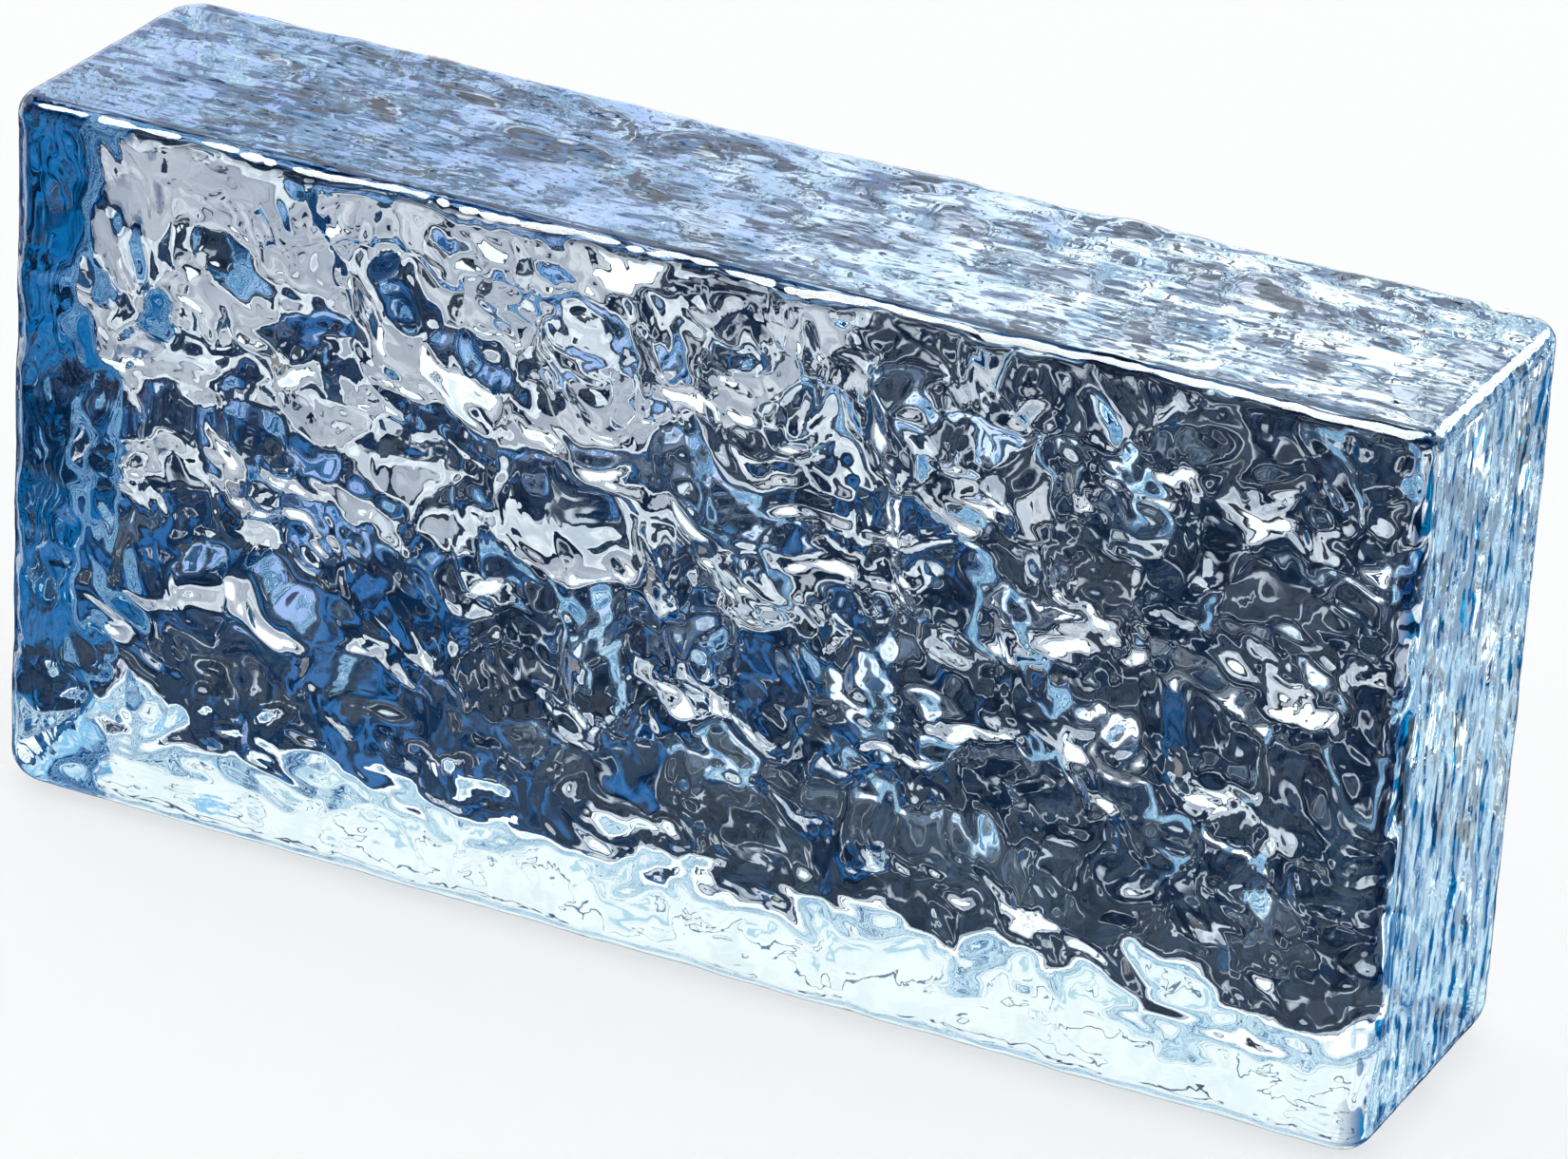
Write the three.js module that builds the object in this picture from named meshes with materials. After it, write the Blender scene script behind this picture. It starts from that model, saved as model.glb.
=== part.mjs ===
// Solid cast glass brick with water-rippled faces, standing on its long narrow bed.
// Millimetres. +X runs along the brick, +Y through its thickness and +Z up. The origin is
// the middle of the bed that the brick stands on.
import * as THREE from 'three';

// Brick
const LENGTH = 200;
const HEIGHT = 100;
const THICKNESS = 46; // between the mean planes of the two rippled faces

// Rounded edges
const CORNER_RADIUS = 5; // the four upright edges
const BED_EDGE_RADIUS = 5; // round the bed that it stands on
const RIM_EDGE_RADIUS = 2.5; // round the opposite bed
const SHARPEST_CORNER = 0.4; // the least corner radius that a level's outline keeps

// Ripples of the two large faces: wave trains that cross, each shorter than the last
const RIPPLE_RISE = 2.1; // where every train crests together, above the mean plane
const LONGEST_WAVE = 26;
const WAVE_RATIO = 0.78; // one train's wavelength over the last one's
const WAVE_TRAINS = 5;
const WAVE_TURN = THREE.MathUtils.degToRad(137.5); // heading between one train and the next
const WAVE_BEND = 0.8; // how far a crest line sways, in radians of its own wave
const BEND_LENGTH = 1.7; // length of that sway, in wavelengths
const PHASE_STEP = 2.1; // keeps the trains from cresting at one point, in radians
const BACK_SHIFT = 57; // how far along the pattern the back face starts

// Folds: raised creases that the glass took as its skin cooled. Their ends are shares of the
// length, counted from the middle, and of the height, counted from the bed. bow is how far a
// fold's middle strays from the straight line between its ends.
const FOLD_WIDTH = 2.5; // from a fold's ridge to where it has all but gone
const FRONT_FOLDS = [
  { from: [0.145, 0.88], to: [0.18, 0.18], rise: 0.8, bow: 3 },
  { from: [-0.23, 0.86], to: [0.13, 0.64], rise: 0.8, bow: -5 },
  { from: [-0.45, 0.5], to: [-0.19, 0.53], rise: 0.7, bow: 9 },
  { from: [0.2, 0.32], to: [0.48, 0.12], rise: 0.7, bow: -3 },
  { from: [0.23, 0.64], to: [0.32, 0.5], rise: 0.7, bow: -4 },
  { from: [-0.43, 0.88], to: [-0.37, 0.6], rise: 0.6, bow: 3 },
  { from: [0, 0.46], to: [0.12, 0.3], rise: 0.8, bow: -6 },
  { from: [-0.3, 0.2], to: [-0.04, 0.26], rise: 0.6, bow: 4 },
];
const BACK_FOLDS = [
  { from: [-0.35, 0.8], to: [-0.1, 0.6], rise: 0.7, bow: 5 },
  { from: [0.05, 0.7], to: [0.3, 0.85], rise: 0.7, bow: -5 },
  { from: [-0.2, 0.3], to: [0.15, 0.44], rise: 0.7, bow: 6 },
  { from: [0.3, 0.2], to: [0.42, 0.6], rise: 0.7, bow: 4 },
  { from: [-0.45, 0.2], to: [-0.35, 0.5], rise: 0.6, bow: 3 },
];

// The relief dies down a little towards the edges, and most towards the bed it stands on
const EDGE_FADE = 8; // width of the calmer border
const EDGE_SHARE = 0.6; // part of the relief left where the rounded edge begins
const BED_FADE = 14;
const BED_SHARE = 0.3;

// Facets
const RIPPLE_GRID = 3;
const CORNER_STEPS = 5;
const BED_EDGE_STEPS = 5;
const RIM_EDGE_STEPS = 3;

const QUARTER_TURN = Math.PI / 2;

const glass = new THREE.MeshStandardMaterial({
  color: 0x9fc4e6,
  roughness: 0.04,
  metalness: 0,
  transparent: true,
  opacity: 0.45,
});

// Height of the ripple pattern at a place on it, from -1 to 1.
function ripplePattern(u, v) {
  let height = 0;
  let wholeShare = 0;
  for (let train = 0; train < WAVE_TRAINS; train += 1) {
    const share = WAVE_RATIO ** train;
    const wave = LONGEST_WAVE * share;
    const heading = WAVE_TURN * (train + 1);
    const along = u * Math.cos(heading) + v * Math.sin(heading);
    const across = v * Math.cos(heading) - u * Math.sin(heading);
    const sway = WAVE_BEND * Math.sin((2 * Math.PI * across) / (BEND_LENGTH * wave) + train);
    height += share * Math.sin((2 * Math.PI * along) / wave + sway + PHASE_STEP * train);
    wholeShare += share;
  }
  return height / wholeShare;
}

// Height of one fold over a place on the face. Beyond its ends a fold runs out in a dome.
function foldHeight(fold, x, z) {
  const start = new THREE.Vector2(fold.from[0] * LENGTH, fold.from[1] * HEIGHT);
  const run = new THREE.Vector2(fold.to[0] * LENGTH, fold.to[1] * HEIGHT).sub(start);
  const runLength = run.length();
  const offset = new THREE.Vector2(x, z).sub(start);
  const along = offset.dot(run) / runLength;
  const nearest = THREE.MathUtils.clamp(along, 0, runLength);
  const bow = fold.bow * Math.sin((Math.PI * nearest) / runLength);
  const aside = run.cross(offset) / runLength - bow;
  const distance = Math.hypot(aside, along - nearest);
  return fold.rise * Math.exp(-((distance / FOLD_WIDTH) ** 2));
}

// Part of the relief that is left at a distance from an edge of a large face.
function edgeFade(distance, width, share) {
  return THREE.MathUtils.lerp(share, 1, THREE.MathUtils.smoothstep(distance, 0, width));
}

// How far a point of a large face stands out of its mean plane.
function rippleRise(x, z, patternX, folds) {
  const fromEnd = LENGTH / 2 - CORNER_RADIUS - Math.abs(x);
  const fromBed = z - BED_EDGE_RADIUS;
  const fromRim = HEIGHT - RIM_EDGE_RADIUS - z;
  const endFade = edgeFade(fromEnd, EDGE_FADE, EDGE_SHARE);
  const rimFade = edgeFade(fromRim, EDGE_FADE, EDGE_SHARE);
  const fade = endFade * rimFade * edgeFade(fromBed, BED_FADE, BED_SHARE);
  const folded = folds.reduce((height, fold) => height + foldHeight(fold, x, z), 0);
  return fade * (RIPPLE_RISE * ripplePattern(patternX, z) + folded);
}

// The front half of the brick's outline at one level, from the left end to the right end.
// facing is 1 on the large face and falls to 0 as the corner turns to the end face.
function frontOutline(inset) {
  const radius = Math.max(CORNER_RADIUS - inset, SHARPEST_CORNER);
  const centreX = LENGTH / 2 - inset - radius;
  const centreY = THICKNESS / 2 - inset - radius;
  const faceSteps = Math.round((LENGTH - 2 * CORNER_RADIUS) / RIPPLE_GRID);
  const outline = [];
  const addCorner = (side, from, to) => {
    for (let step = 0; step <= CORNER_STEPS; step += 1) {
      const turn = THREE.MathUtils.lerp(from, to, step / CORNER_STEPS);
      outline.push({
        x: side * (centreX + radius * Math.cos(turn)),
        y: -centreY - radius * Math.sin(turn),
        facing: Math.sin(turn),
      });
    }
  };
  addCorner(-1, 0, QUARTER_TURN);
  for (let step = 1; step < faceSteps; step += 1) {
    outline.push({
      x: THREE.MathUtils.lerp(-centreX, centreX, step / faceSteps),
      y: -centreY - radius,
      facing: 1,
    });
  }
  addCorner(1, QUARTER_TURN, 0);
  return outline;
}

// Levels from the bed up. Each has its height, how far the outline is set in from the
// upright walls, and facing, which falls from 1 on those walls to 0 on the flat beds.
function brickLevels() {
  const wallHeight = HEIGHT - BED_EDGE_RADIUS - RIM_EDGE_RADIUS;
  const wallSteps = Math.round(wallHeight / RIPPLE_GRID);
  const levels = [];
  for (let step = 0; step <= BED_EDGE_STEPS; step += 1) {
    const turn = (QUARTER_TURN * step) / BED_EDGE_STEPS;
    levels.push({
      z: BED_EDGE_RADIUS * (1 - Math.cos(turn)),
      inset: BED_EDGE_RADIUS * (1 - Math.sin(turn)),
      facing: Math.sin(turn),
    });
  }
  for (let step = 1; step < wallSteps; step += 1) {
    levels.push({ z: BED_EDGE_RADIUS + (wallHeight * step) / wallSteps, inset: 0, facing: 1 });
  }
  for (let step = RIM_EDGE_STEPS; step >= 0; step -= 1) {
    const turn = (QUARTER_TURN * step) / RIM_EDGE_STEPS;
    levels.push({
      z: HEIGHT - RIM_EDGE_RADIUS * (1 - Math.cos(turn)),
      inset: RIM_EDGE_RADIUS * (1 - Math.sin(turn)),
      facing: Math.sin(turn),
    });
  }
  return levels;
}

// One closed ring of points: along the front from left to right, then back along the rear.
function ringPoints(level) {
  const outline = frontOutline(level.inset);
  const front = outline.map((point) => {
    const rise = rippleRise(point.x, level.z, point.x, FRONT_FOLDS);
    return new THREE.Vector3(point.x, point.y - point.facing * level.facing * rise, level.z);
  });
  const back = outline.map((point) => {
    const rise = rippleRise(point.x, level.z, BACK_SHIFT - point.x, BACK_FOLDS);
    return new THREE.Vector3(point.x, -point.y + point.facing * level.facing * rise, level.z);
  });
  return [...front, ...back.reverse()];
}

// The brick as a loft: rings joined by walls, with a flat bed across the first and the last.
function brickGeometry() {
  const rings = brickLevels().map(ringPoints);
  const ringSize = rings[0].length;
  const positions = rings.flat().flatMap((point) => point.toArray());
  const triangles = [];
  const addQuad = (a, b, c, d) => triangles.push(a, b, c, a, c, d);

  for (let ring = 0; ring < rings.length - 1; ring += 1) {
    for (let point = 0; point < ringSize; point += 1) {
      const below = ring * ringSize + point;
      const belowNext = ring * ringSize + ((point + 1) % ringSize);
      addQuad(below, belowNext, belowNext + ringSize, below + ringSize);
    }
  }
  const lastRing = (rings.length - 1) * ringSize;
  for (let front = 0; front < ringSize / 2 - 1; front += 1) {
    const back = ringSize - 1 - front;
    addQuad(front, back, back - 1, front + 1);
    addQuad(lastRing + front, lastRing + front + 1, lastRing + back - 1, lastRing + back);
  }

  const geometry = new THREE.BufferGeometry();
  geometry.setAttribute('position', new THREE.Float32BufferAttribute(positions, 3));
  geometry.setIndex(triangles);
  geometry.computeVertexNormals();
  return geometry;
}

const brick = new THREE.Group();
const block = new THREE.Mesh(brickGeometry(), glass);
block.name = 'glass_block';
brick.add(block);

export default brick;
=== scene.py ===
"""A solid cast-glass brick standing on its long bed, dressed and lit for a product picture.

Lengths are in metres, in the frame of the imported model: +X runs along the brick, +Y goes from the
front wall to the back wall, +Z is up, and the origin is the middle of the bed.
"""

import logging
import math
from dataclasses import dataclass, replace
from enum import Enum

import bmesh
import bpy
import numpy as np
from mathutils import Matrix, Vector, noise


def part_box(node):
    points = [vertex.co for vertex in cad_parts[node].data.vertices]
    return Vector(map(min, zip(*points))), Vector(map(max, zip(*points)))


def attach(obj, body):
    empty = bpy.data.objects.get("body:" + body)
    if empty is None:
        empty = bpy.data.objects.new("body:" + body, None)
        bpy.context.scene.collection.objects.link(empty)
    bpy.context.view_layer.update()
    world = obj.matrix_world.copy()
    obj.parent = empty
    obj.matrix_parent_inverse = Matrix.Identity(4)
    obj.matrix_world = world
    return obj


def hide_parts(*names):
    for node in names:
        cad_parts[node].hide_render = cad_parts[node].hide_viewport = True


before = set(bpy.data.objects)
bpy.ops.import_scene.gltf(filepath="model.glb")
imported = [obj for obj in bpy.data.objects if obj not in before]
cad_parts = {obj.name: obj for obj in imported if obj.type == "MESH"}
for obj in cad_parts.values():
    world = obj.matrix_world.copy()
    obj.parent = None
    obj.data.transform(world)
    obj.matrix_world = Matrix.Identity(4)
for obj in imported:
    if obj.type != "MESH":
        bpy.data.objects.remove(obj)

LOG = logging.getLogger("glass_brick")

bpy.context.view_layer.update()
BODY = "root"
NODE = "glass_block"

MM = 0.001
PICTURE_WIDTH = 1650
HALF_TURN = 180.0
FULL_TURN = 360.0
DEGREES = HALF_TURN / math.pi

# The push that curls a relief has a seed of its own, and its two directions are read far apart.
PUSH_SEED = 8.9
PUSH_APART = Vector((31.7, 17.9, 5.3))

# Closer than TOUCHING, a point lies on the line. Lengths are divided by LEAST_LENGTH at least, and a
# side is raised only where its weight is over LEAST_WEIGHT.
TOUCHING = 1e-9
LEAST_LENGTH = 1e-12
LEAST_WEIGHT = 1e-4

# A noise texture's middle, and about how far most of it strays to either side.
NOISE_MIDDLE = 0.5
NOISE_SPREAD = 0.3

# How many times light is followed on, from face to face of the glass.
BOUNCES = 32

Colour = tuple[float, float, float]
Box = tuple[float, float, float, float]
Socket = bpy.types.NodeSocket

# The headings of the folded and of the whole room, and its levels, in degrees.
ALL_ROUND = (0.0, HALF_TURN)
BOTH_WAYS = (-HALF_TURN, HALF_TURN)
UP_AND_DOWN = (-90.0, 90.0)


def smooth_step(value: np.ndarray) -> np.ndarray:
    """Eases from 0 to 1 while the value goes from 0 to 1."""
    held = np.clip(value, 0.0, 1.0)
    return held * held * (3 - 2 * held)


class Wall(Enum):
    """The two rippled walls of the brick, each with the way that it faces along Y."""

    FRONT = -1
    BACK = 1


@dataclass(frozen=True)
class WaveTrains:
    """Crossing wave trains, each shorter, lower and turned from the one before."""

    rise: float = 2.1 * MM
    longest: float = 26 * MM
    ratio: float = 0.78
    count: int = 5
    turn: float = math.radians(137.5)
    bend: float = 0.8
    bend_length: float = 1.7
    phase_step: float = 2.1

    def height(self, u: np.ndarray, v: np.ndarray) -> np.ndarray:
        """Sums the trains at places on a wall.

        Args:
            u: How far along the wall each place is.
            v: How high each place is.

        Returns:
            The rise of the wall at each place.
        """
        height = np.zeros_like(u)
        whole = 0.0
        for train in range(self.count):
            share = self.ratio**train
            wave = self.longest * share
            heading = self.turn * (train + 1)
            along = u * math.cos(heading) + v * math.sin(heading)
            across = v * math.cos(heading) - u * math.sin(heading)
            sway = self.bend * np.sin(math.tau * across / (self.bend_length * wave) + train)
            height += share * np.sin(math.tau * along / wave + sway + self.phase_step * train)
            whole += share
        return self.rise * height / whole


@dataclass(frozen=True)
class Fold:
    """A long crease of glass that ran and set, bowed between its two ends.

    The ends are shares of the brick's length from its middle, and of its height.
    """

    start: tuple[float, float]
    end: tuple[float, float]
    rise: float
    bow: float
    width: float = 2.5 * MM

    def height(self, x: np.ndarray, z: np.ndarray, form: "BlockForm") -> np.ndarray:
        """Gives the fold's height at places on a wall.

        Args:
            x: How far from the middle of the wall each place is.
            z: How high each place is.
            form: The block that the fold lies on.

        Returns:
            The fold's height at each place.
        """
        start_x, start_z = self.start[0] * form.length, self.start[1] * form.height
        run_x, run_z = self.end[0] * form.length - start_x, self.end[1] * form.height - start_z
        run = math.hypot(run_x, run_z)
        along = ((x - start_x) * run_x + (z - start_z) * run_z) / run
        nearest = np.clip(along, 0.0, run)
        aside = ((z - start_z) * run_x - (x - start_x) * run_z) / run
        aside = aside - self.bow * np.sin(math.pi * nearest / run)
        distance = np.hypot(aside, along - nearest)
        return self.rise * np.exp(-((distance / self.width) ** 2))


@dataclass(frozen=True)
class CloudRelief:
    """Uneven relief of one size whose shapes are pushed about until they curl."""

    rise: float
    size: float
    seed: float
    octaves: int = 2
    evenness: float = 0.9
    curl: float = 0.0
    curl_size: float = 14 * MM

    def height(self, u: np.ndarray, v: np.ndarray) -> np.ndarray:
        """Gives the relief's height at places on a face.

        Args:
            u: The first coordinate of each place on the face.
            v: The second coordinate of each place on the face.

        Returns:
            The height at each place.
        """
        height = np.empty_like(u)
        for index, (place_u, place_v) in enumerate(zip(u, v)):
            place = Vector((place_u / self.size, place_v / self.size, self.seed))
            if self.curl:
                seed = self.seed + PUSH_SEED
                at = Vector((place_u / self.curl_size, place_v / self.curl_size, seed))
                push = Vector((noise.noise(at), noise.noise(at + PUSH_APART), 0.0))
                place += push * (self.curl / self.size)
            height[index] = noise.fractal(place, self.evenness, 2.0, self.octaves)
        return self.rise * height


@dataclass(frozen=True)
class Pool:
    """A calm round patch of a wall, where the fine relief dies away."""

    x: float
    z: float
    radius: float
    hush: float = 0.8

    def share(self, x: np.ndarray, z: np.ndarray) -> np.ndarray:
        """Gives the share of the fine relief that stays at places on the wall.

        Args:
            x: How far from the middle of the wall each place is.
            z: How high each place is.

        Returns:
            A share from 0 to 1 for each place.
        """
        distance = ((x - self.x) ** 2 + (z - self.z) ** 2) / self.radius**2
        return 1 - self.hush * np.exp(-(distance**1.5))


@dataclass(frozen=True)
class WallRelief:
    """Everything that stands out on one rippled wall."""

    wall: Wall
    folds: tuple[Fold, ...]
    pools: tuple[Pool, ...]
    swell: CloudRelief
    curls: CloudRelief | None = None
    patches: CloudRelief | None = None
    trains: WaveTrains = WaveTrains()
    turned_about: float | None = None
    least_curls: float = 0.18
    least_swell: float = 0.4

    def height(self, x: np.ndarray, z: np.ndarray, form: "BlockForm") -> np.ndarray:
        """Adds up the waves, folds, swell and curls.

        Args:
            x: How far from the middle of the wall each place is.
            z: How high each place is.
            form: The block that the wall belongs to.

        Returns:
            The height of the wall at each place.
        """
        u = x if self.turned_about is None else self.turned_about - x
        height = self.trains.height(u, z)
        for fold in self.folds:
            height += fold.height(x, z, form)
        calm = np.ones_like(x)
        for pool in self.pools:
            calm *= pool.share(x, z)
        height += self.swell.height(u, z) * (self.least_swell + (1 - self.least_swell) * calm)
        if self.curls is not None and self.patches is not None:
            busy = smooth_step(0.5 + self.patches.height(u, z))
            busy = self.least_curls + (1 - self.least_curls) * busy
            height += self.curls.height(u, z) * busy * calm
        return height


@dataclass
class BlockForm:
    """The rounded block before its relief, as a lattice of small cells on its six sides.

    The thickness is between the mean planes of the two walls. The cells are counted along X, Y and Z.
    """

    length: float
    height: float
    thickness: float = 46 * MM
    corner_radius: float = 5 * MM
    bed_edge_radius: float = 5 * MM
    rim_edge_radius: float = 2.5 * MM
    cells: tuple[int, int, int] = (272, 30, 136)
    crowding: float = 0.5
    shortest_run: float = 0.01 * MM

    def lattice(self) -> bpy.types.Mesh:
        """Makes the sharp-edged block and cuts its six sides into cells.

        Returns:
            The mesh, with its faces pointing out.
        """
        shape = bmesh.new()
        size = Matrix.Diagonal((self.length, self.thickness, self.height, 1.0))
        place = Matrix.Translation((0.0, 0.0, self.height / 2)) @ size
        bmesh.ops.create_cube(shape, size=1.0, matrix=place)
        for axis, count in enumerate(self.cells):
            across = [edge for edge in shape.edges if self._runs_along(edge, axis)]
            bmesh.ops.subdivide_edges(shape, edges=across, cuts=count - 1, use_grid_fill=True)
        bmesh.ops.recalc_face_normals(shape, faces=shape.faces)
        for face in shape.faces:
            face.smooth = True
        mesh = bpy.data.meshes.new(NODE)
        shape.to_mesh(mesh)
        shape.free()
        return mesh

    def _runs_along(self, edge: bmesh.types.BMEdge, axis: int) -> bool:
        """Tells whether an edge runs along an axis."""
        first, second = edge.verts
        return abs((first.co - second.co)[axis]) > self.shortest_run

    def crowd(self, points: np.ndarray) -> np.ndarray:
        """Crowds the lattice lines towards the two walls, where the edges are round.

        Args:
            points: The lattice points.

        Returns:
            The points with their Y moved.
        """
        crowded = points.copy()
        half = self.thickness / 2
        share = points[:, 1] / half
        crowded[:, 1] = half * (share + self.crowding * np.sin(math.pi * share) / math.pi)
        return crowded

    def rounded(self, points: np.ndarray) -> np.ndarray:
        """Moves the points of the sharp block onto its round corners and edges.

        Args:
            points: The points on the sharp block.

        Returns:
            The points on the rounded block.
        """
        radius = self.corner_radius
        reach = np.array((self.length / 2 - radius, self.thickness / 2 - radius))
        core = np.clip(points[:, :2], -reach, reach)
        out = points[:, :2] - core
        far = np.abs(out).max(axis=1)
        straight = np.hypot(out[:, 0], out[:, 1])
        is_corner = (np.abs(out) > TOUCHING).all(axis=1)
        shrink = np.where(is_corner, far / np.maximum(straight, LEAST_LENGTH), 1.0)
        out = out * shrink[:, None]
        reached = np.hypot(out[:, 0], out[:, 1])
        facing = out / np.maximum(reached, LEAST_LENGTH)[:, None]
        inset = radius - reached
        plan = core + out
        level = points[:, 2].copy()
        edges = (
            (self.bed_edge_radius, points[:, 2], 1),
            (self.rim_edge_radius, self.height - points[:, 2], -1),
        )
        for edge_radius, depth, upward in edges:
            side = edge_radius - inset
            down = edge_radius - depth
            is_edge = (side > 0) & (down > 0) & (reached > TOUCHING)
            pull = np.maximum(side, down) / np.maximum(np.hypot(side, down), LEAST_LENGTH)
            pull = np.where(is_edge, pull, 1.0)
            plan += (side * pull - side)[:, None] * facing
            level += upward * (down - down * pull)
        return np.column_stack((plan, level))


@dataclass(frozen=True)
class Calm:
    """A border of a wall where its relief dies down towards the edge."""

    width: float
    share: float

    def fade(self, distance: np.ndarray) -> np.ndarray:
        """Gives the share of the relief that is left at distances from the edge.

        Args:
            distance: How far from the rounded edge each place is.

        Returns:
            A share for each place.
        """
        return self.share + (1 - self.share) * smooth_step(distance / self.width)


@dataclass
class GlassBrick:
    """The whole casting: a rounded block with two rippled walls and four nearly plain sides."""

    form: BlockForm
    walls: tuple[WallRelief, ...]
    skin: CloudRelief
    finish: "CastGlass"
    bed_calm: Calm = Calm(14 * MM, 0.3)
    rim_calm: Calm = Calm(8 * MM, 0.6)
    left_calm: Calm = Calm(12 * MM, 0.4)
    right_calm: Calm = Calm(8 * MM, 0.6)

    def build(self) -> bpy.types.Object:
        """Makes the casting and dresses it.

        Returns:
            The finished object.
        """
        mesh = self.form.lattice()
        flat = np.empty(len(mesh.vertices) * 3)
        mesh.vertices.foreach_get("co", flat)
        sharp = self.form.crowd(flat.reshape(-1, 3))
        round_points = self.form.rounded(sharp)
        points = self._with_walls(sharp, round_points)
        points = self._with_skin(round_points, points)
        mesh.vertices.foreach_set("co", points.ravel())
        mesh.update()
        brick = bpy.data.objects.new("cast_glass_brick", mesh)
        bpy.context.scene.collection.objects.link(brick)
        mesh.materials.append(self.finish.material())
        return brick

    def _fade(self, sharp: np.ndarray) -> np.ndarray:
        """Lets the relief die away towards the corners and edges.

        Args:
            sharp: The points on the sharp block.

        Returns:
            The share of the relief that is left at each point.
        """
        form = self.form
        to_corner = form.length / 2 - form.corner_radius
        left = self.left_calm.fade(to_corner + sharp[:, 0])
        right = self.right_calm.fade(to_corner - sharp[:, 0])
        bed = self.bed_calm.fade(sharp[:, 2] - form.bed_edge_radius)
        rim = self.rim_calm.fade(form.height - form.rim_edge_radius - sharp[:, 2])
        return left * right * bed * rim

    def _with_walls(self, sharp: np.ndarray, points: np.ndarray) -> np.ndarray:
        """Raises the relief of the two walls.

        Args:
            sharp: The points on the sharp block.
            points: The points on the rounded block.

        Returns:
            The points with the relief of both walls.
        """
        form = self.form
        fade = self._fade(sharp)
        moved = points.copy()
        for relief in self.walls:
            way = relief.wall.value
            past_arc = way * points[:, 1] - (form.thickness / 2 - form.corner_radius)
            weight = smooth_step(past_arc / form.corner_radius)
            on_wall = np.nonzero(weight > LEAST_WEIGHT)[0]
            height = relief.height(points[on_wall, 0], points[on_wall, 2], form)
            moved[on_wall, 1] += way * weight[on_wall] * fade[on_wall] * height
        return moved

    def _with_skin(self, points: np.ndarray, moved: np.ndarray) -> np.ndarray:
        """Adds the slight unevenness of the top and the two ends.

        Args:
            points: The points on the rounded block.
            moved: The same points with the relief of the walls.

        Returns:
            The points with both.
        """
        form = self.form
        sides = (
            (2, 1, form.height, form.rim_edge_radius, (0, 1)),
            (0, 1, form.length / 2, form.corner_radius, (1, 2)),
            (0, -1, form.length / 2, form.corner_radius, (1, 2)),
        )
        for axis, way, reach, radius, (first, second) in sides:
            weight = smooth_step((way * points[:, axis] - (reach - radius)) / radius)
            on_side = np.nonzero(weight > LEAST_WEIGHT)[0]
            height = self.skin.height(points[on_side, first], points[on_side, second] + way)
            moved[on_side, axis] += way * weight[on_side] * height
        return moved


class ShaderTree:
    """Adds nodes to a node tree in short calls."""

    def __init__(self, tree: bpy.types.NodeTree) -> None:
        """Keeps the tree that nodes are added to."""
        self.tree = tree

    def feed(self, socket: Socket, value: object) -> None:
        """Sets a socket's value, or links it if the value is a socket.

        Args:
            socket: The input socket.
            value: A number, a colour or an output socket.
        """
        if isinstance(value, Socket):
            self.tree.links.new(value, socket)
        elif isinstance(value, tuple) and len(value) == 3 and socket.type == "RGBA":
            socket.default_value = (*value, 1.0)
        else:
            socket.default_value = value

    def math(self, operation: str, *values: object, clamp: bool = False) -> Socket:
        """Adds a Math node.

        Args:
            operation: The node's operation.
            values: Its inputs, numbers or sockets.
            clamp: Whether the result is held between 0 and 1.

        Returns:
            The result.
        """
        node = self.tree.nodes.new("ShaderNodeMath")
        node.operation = operation
        node.use_clamp = clamp
        for socket, value in zip(node.inputs, values):
            self.feed(socket, value)
        return node.outputs[0]

    def step(self, value: object, low: float, high: float) -> Socket:
        """Eases from 0 at the low value to 1 at the high one.

        Args:
            value: The socket that is read.
            low: Where the result is 0.
            high: Where the result is 1.

        Returns:
            The eased value.
        """
        node = self.tree.nodes.new("ShaderNodeMapRange")
        node.interpolation_type = "SMOOTHSTEP"
        self.feed(node.inputs["Value"], value)
        self.feed(node.inputs["From Min"], low)
        self.feed(node.inputs["From Max"], high)
        return node.outputs[0]

    def mix(self, share: object, first: object, second: object) -> Socket:
        """Mixes two colours.

        Args:
            share: How much of the second colour there is.
            first: The first colour.
            second: The second colour.

        Returns:
            The mixed colour.
        """
        node = self.tree.nodes.new("ShaderNodeMix")
        node.data_type = "RGBA"
        self.feed(node.inputs[0], share)
        self.feed(node.inputs[6], first)
        self.feed(node.inputs[7], second)
        return node.outputs[2]

    def blend(self, share: object, first: Socket, second: Socket) -> Socket:
        """Blends two surfaces.

        Args:
            share: How much of the second surface there is.
            first: The first surface.
            second: The second surface.

        Returns:
            The blended surface.
        """
        node = self.tree.nodes.new("ShaderNodeMixShader")
        for socket, value in zip(node.inputs, (share, first, second)):
            self.feed(socket, value)
        return node.outputs[0]

    def stretched(self, place: object, stretch: tuple[float, float, float]) -> Socket:
        """Scales coordinates along each axis.

        Args:
            place: The coordinates.
            stretch: The factor for each axis.

        Returns:
            The scaled coordinates.
        """
        node = self.tree.nodes.new("ShaderNodeVectorMath")
        node.operation = "MULTIPLY"
        self.feed(node.inputs[0], place)
        node.inputs[1].default_value = stretch
        return node.outputs[0]

    def noise(self, place: object, scale: float, detail: float = 1.0, curl: float = 0.0) -> Socket:
        """Adds a Noise Texture.

        Args:
            place: The coordinates that it reads.
            scale: How many bumps there are to a metre.
            detail: How many finer layers it has.
            curl: How much its shapes are distorted.

        Returns:
            Its height, about 0.5 on average.
        """
        node = self.tree.nodes.new("ShaderNodeTexNoise")
        self.feed(node.inputs["Vector"], place)
        self.feed(node.inputs["Scale"], scale)
        self.feed(node.inputs["Detail"], detail)
        self.feed(node.inputs["Distortion"], curl)
        return node.outputs[0]


class Run(Enum):
    """The way that the marks of the mould run, as the axis that they are long in."""

    ALONG = 0
    UPRIGHT = 2


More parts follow.
